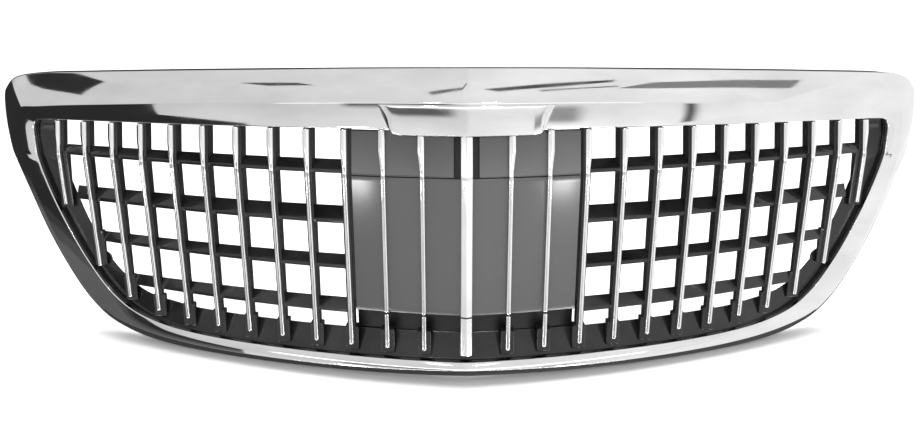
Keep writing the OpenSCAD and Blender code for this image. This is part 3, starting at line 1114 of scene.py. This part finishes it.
CARDS = (
    Card("dark_side", Axis.X, -1.0, 0.028, (
        (-0.75, -0.04), (0.6, -0.04), (0.6, 0.36), (-0.40, 0.36), (-0.42, 0.08), (-0.75, -0.02),
    )),
    Card("dusk_side", Axis.X, -1.0, 0.05, block(WALL, (-0.07, -0.04))),
    Card("dim_side", Axis.X, -1.0, 0.085, block(WALL, (-0.11, -0.07))),
    Card("low_side", Axis.X, -1.0, 0.13, block(WALL, (-0.5, -0.11))),
    Card("dark_patch", Axis.X, -1.0, 0.03, (
        (-0.07, 0.54), (0.02, 0.51), (0.2, 0.54), (0.2, 0.64), (0.0, 0.68),
    )),
    Card("bright_side", Axis.X, 1.0, 1.05, (
        (-0.75, -0.5), (0.6, -0.5), (0.6, 0.6), (-0.40, 0.6), (-0.42, 0.08), (-0.75, -0.02),
    )),
    Card("beam_left", Axis.Z, 1.0, 0.08, ((-0.88, -0.22), (-0.66, -0.29), (-0.62, -0.35), (-0.80, -0.31))),
    Card("beam_middle", Axis.Z, 1.0, 0.16, ((-0.26, -0.60), (0.02, -0.44), (0.02, -0.41), (-0.26, -0.55))),
    Card("beam_right", Axis.Z, 1.0, 0.09, (
        (0.22, -0.51), (0.40, -0.38), (0.62, -0.25), (0.63, -0.29), (0.44, -0.44), (0.28, -0.54),
    )),
    Card("thin_beam", Axis.Z, 1.0, 0.12, ((0.42, -0.50), (0.68, -0.35), (0.69, -0.37), (0.43, -0.52))),
    Card("grey_wedge", Axis.Z, 1.0, 0.27, (
        (0.70, -0.40), (0.78, -0.25), (1.10, -0.09), (1.40, 0.02),
        (1.50, -0.12), (1.15, -0.24), (0.85, -0.36),
    )),
    Card("lamp_left", Axis.Y, -1.15, 16.0, block((-0.82, -0.68), (-0.27, -0.13))),
    Card("lamp_right", Axis.Y, -1.15, 16.0, block((0.68, 0.82), (-0.27, -0.13))),
    Card("low_strip", Axis.Y, -1.0, 16.0, block((-1.1, 1.1), (-0.82, -0.76))),
    Card("spark_left", Axis.Y, -1.3, 50.0, block((-0.50, -0.42), (1.00, 1.08))),
    Card("spark_right", Axis.Y, -1.3, 50.0, block((0.42, 0.50), (1.00, 1.08))),
)


@dataclass(frozen=True)
class Lamp:
    """A soft rectangular lamp: where it hangs, the point it faces, its width and height, and its watts."""

    name: str
    place: Place
    aim: Place
    size: Point
    power: float

    def hang(self) -> None:
        """Puts the lamp up. Reflections don't show it."""
        data = bpy.data.lights.new(self.name, "AREA")
        data.shape, data.energy = "RECTANGLE", self.power
        data.size, data.size_y = self.size
        made = bpy.data.objects.new(self.name, data)
        made.location, made.visible_glossy = self.place, False
        made.rotation_euler = (Vector(self.aim) - Vector(self.place)).to_track_quat("-Z", "Y").to_euler()
        bpy.context.scene.collection.objects.link(made)


@dataclass(frozen=True)
class Window:
    """A bright or dark area of the room, as a block of azimuth and elevation in degrees.

    Azimuth 0 is in front of the grille and 90 is to its right.
    """

    azimuth: Point
    elevation: Point
    soft: float
    level: float


@dataclass
class Room:
    """The room: a grey that depends on elevation, with soft-edged windows of light and dark over it."""

    sky: tuple[Point, ...] = (
        (0.0, 0.05), (0.20, 0.07), (0.30, 0.60), (0.37, 1.05), (0.43, 1.0),
        (0.5, 0.84), (0.62, 0.85), (0.85, 0.92), (1.0, 0.85),
    )
    windows: tuple[Window, ...] = (
        Window((-184, -112), (-60, 60), 8, 0.05),
        Window((112, 184), (-60, 60), 8, 0.08),
        Window((-34, -14), (1, 9), 1.5, 0.13),
        Window((-46, 46), (6.5, 9.5), 1.2, 2.6),
        Window((28, 35), (-9, 1), 2, 0.36),
        Window((53, 55), (-14, 2), 1.0, 0.08),
    )
    cloud_scale: float = 2.6
    cloud_detail: float = 5.0
    cloud_low: float = 0.8
    cloud_span: float = 0.4
    right_gain: float = 0.18

    def __post_init__(self) -> None:
        """Starts the world and its directions."""
        world = bpy.data.worlds.new("room")
        bpy.context.scene.world = world
        world.use_nodes = True
        self.tree = world.node_tree
        self.direction = self.tree.nodes.new("ShaderNodeTexCoord").outputs["Generated"]
        self.parts = self.tree.nodes.new("ShaderNodeSeparateXYZ")
        self.tree.links.new(self.direction, self.parts.inputs[0])

    def maths(self, kind: str, *terms: Socket | float) -> Socket:
        """One sum on values or numbers."""
        node = self.tree.nodes.new("ShaderNodeMath")
        node.operation = kind
        for socket, term in zip(node.inputs, terms):
            if isinstance(term, (int, float)):
                socket.default_value = term
            else:
                self.tree.links.new(term, socket)
        return node.outputs[0]

    def base(self, elevation: Socket) -> Socket:
        """The grey by elevation, times a slight gain to the right, times a cloud pattern."""
        ramp = self.tree.nodes.new("ShaderNodeValToRGB")
        fill_ramp(ramp, [(at, grey(level)) for at, level in self.sky])
        self.tree.links.new(self.maths("MULTIPLY_ADD", elevation, 1 / math.pi, 0.5), ramp.inputs["Fac"])
        noise = self.tree.nodes.new("ShaderNodeTexNoise")
        noise.inputs["Scale"].default_value = self.cloud_scale
        noise.inputs["Detail"].default_value = self.cloud_detail
        self.tree.links.new(self.direction, noise.inputs["Vector"])
        side = self.maths("MULTIPLY_ADD", self.parts.outputs["X"], self.right_gain, 1.0)
        cloud = self.maths("MULTIPLY_ADD", noise.outputs["Fac"], self.cloud_span, self.cloud_low)
        return self.maths("MULTIPLY", ramp.outputs["Color"], self.maths("MULTIPLY", side, cloud))

    def step(self, value: Socket, middle: float, soft: float) -> Socket:
        """A smooth step up from middle - soft to middle + soft, in degrees, or down if soft is negative."""
        node = self.tree.nodes.new("ShaderNodeMapRange")
        node.interpolation_type = "SMOOTHSTEP"
        node.inputs["From Min"].default_value = math.radians(middle - soft)
        node.inputs["From Max"].default_value = math.radians(middle + soft)
        self.tree.links.new(value, node.inputs["Value"])
        return node.outputs["Result"]

    def mask(self, window: Window, azimuth: Socket, elevation: Socket) -> Socket:
        """1 inside a window and 0 outside: the product of the steps at its four edges."""
        mask = self.step(azimuth, window.azimuth[0], window.soft)
        for value, middle, soft in (
            (azimuth, window.azimuth[1], -window.soft),
            (elevation, window.elevation[0], window.soft),
            (elevation, window.elevation[1], -window.soft),
        ):
            mask = self.maths("MULTIPLY", mask, self.step(value, middle, soft))
        return mask

    def light(self) -> None:
        """Lays the windows over the grey, one after another, and lights the world with them."""
        backwards = self.maths("MULTIPLY", self.parts.outputs["Y"], -1.0)
        azimuth = self.maths("ARCTAN2", self.parts.outputs["X"], backwards)
        elevation = self.maths("ARCSINE", self.parts.outputs["Z"])
        level = self.base(elevation)
        for window in self.windows:
            mask = self.mask(window, azimuth, elevation)
            change = self.maths("MULTIPLY", mask, self.maths("SUBTRACT", window.level, level))
            level = self.maths("ADD", level, change)
        background = self.tree.nodes["Background"]
        self.tree.links.new(level, background.inputs["Color"])
        background.inputs["Strength"].default_value = 1.0


@dataclass
class Studio:
    """Camera, floor, lamps, cards and the room that the chrome mirrors."""

    eye: Place = (-0.01395, -0.72134, 0.26075)
    pitch_down: float = 0.2123
    yaw: float = 0.0113
    lens: float = 27.2
    sensor: float = 36.0
    shift_y: float = -0.0391
    floor_drop: float = 0.0005
    floor_half_w: float = 5.0
    bend_y: float = 1.4
    bend_r: float = 0.6
    wall_high: float = 3.0
    lamps: tuple[Lamp, ...] = (
        Lamp("overhead", (0.1, -0.3, 2.2), (0, 0, 0.1), (2.4, 1.6), 60),
        Lamp("backdrop_lamp", (0, 0.9, 1.8), (0, 1.7, 0.0), (3.0, 0.5), 26),
    )

    def camera(self) -> None:
        """The camera, at the height and distance that a person holds one."""
        data = bpy.data.cameras.new("camera")
        data.lens, data.sensor_width, data.shift_y = self.lens, self.sensor, self.shift_y
        data.clip_start, data.clip_end = 0.01, 50
        made = bpy.data.objects.new("camera", data)
        made.location = self.eye
        made.rotation_euler = (math.pi / 2 - self.pitch_down, 0, -self.yaw)
        bpy.context.scene.collection.objects.link(made)
        bpy.context.scene.camera = made

    def floor(self) -> None:
        """A pale floor that bends up behind the grille: a line along Y, a quarter circle and a wall."""
        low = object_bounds()[0].z - self.floor_drop
        turn = np.linspace(0, math.pi / 2, 24)
        wall_y = self.bend_y + self.bend_r
        y = np.concatenate([[-self.floor_half_w], self.bend_y + self.bend_r * np.sin(turn), [wall_y]])
        z = np.concatenate([[0.0], self.bend_r - self.bend_r * np.cos(turn), [self.wall_high]]) + low
        points = sections([(x, y, z) for x in (-self.floor_half_w, self.floor_half_w)]).reshape(-1, 3)
        rows = np.arange(len(y) - 1) * 2
        quads = np.stack([rows, rows + 1, rows + 3, rows + 2], 1)
        mesh = bpy.data.meshes.new("pale_floor")
        mesh.from_pydata(points.tolist(), [], quads.tolist())
        mesh.polygons.foreach_set("use_smooth", np.ones(len(mesh.polygons), bool))
        f = Finish("pale_floor").set(Roughness=0.9)
        mesh.materials.append(f.tones(f.noise(3, 3), grey(0.90), grey(0.93)).material)
        made = bpy.data.objects.new("pale_floor", mesh)
        bpy.context.scene.collection.objects.link(made)
        made.visible_glossy = False
        made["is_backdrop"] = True

    def lights(self) -> None:
        """The lamps, the cards that the chrome mirrors, and the room round them."""
        for hung in (*self.lamps, *CARDS):
            hung.hang()
        Room().light()


# ---------------------------------------------------------------- the whole grille


def main() -> None:
    """Builds every part in order."""
    logging.basicConfig(level=logging.INFO, format="%(name)s %(message)s")
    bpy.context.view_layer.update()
    bpy.context.scene.view_settings.view_transform = "Standard"
    studio = Studio()
    studio.camera()
    studio.floor()
    chrome = Chrome("surround_plating").make()
    bar_chrome = Chrome("bar_plating", bright=0.95, dull=0.88, smooth=0.06, hazy=0.10, swell=0.0001).make()
    black = GlossBlack("insert_gloss").make()
    Surround(chrome).moulding()
    Nose(chrome).trim()
    bars = Bars(bar_chrome)
    bars.grid_bars()
    bars.strips()
    insert = Insert(black, bars)
    insert.border()
    insert.sockets()
    insert.louvres()
    # The carrier is black plastic. Its tone darker than the insert's and its missing clear coat are painted
    # shade, which keeps the band under the panes as dark as the shade in the cavity there.
    carrier_shaded_black = GlossBlack("carrier_gloss_painted_shade", light=0.012, smooth=0.3, rough=0.4, coat=0.0).make()
    cover = Cover(CoverGloss("cover_sheet").make(), carrier_shaded_black)
    cover.panes()
    cover.carrier()
    Brackets(Steel("bracket_plating").make()).dress()
    studio.lights()


if __name__ == "__main__":
    main()
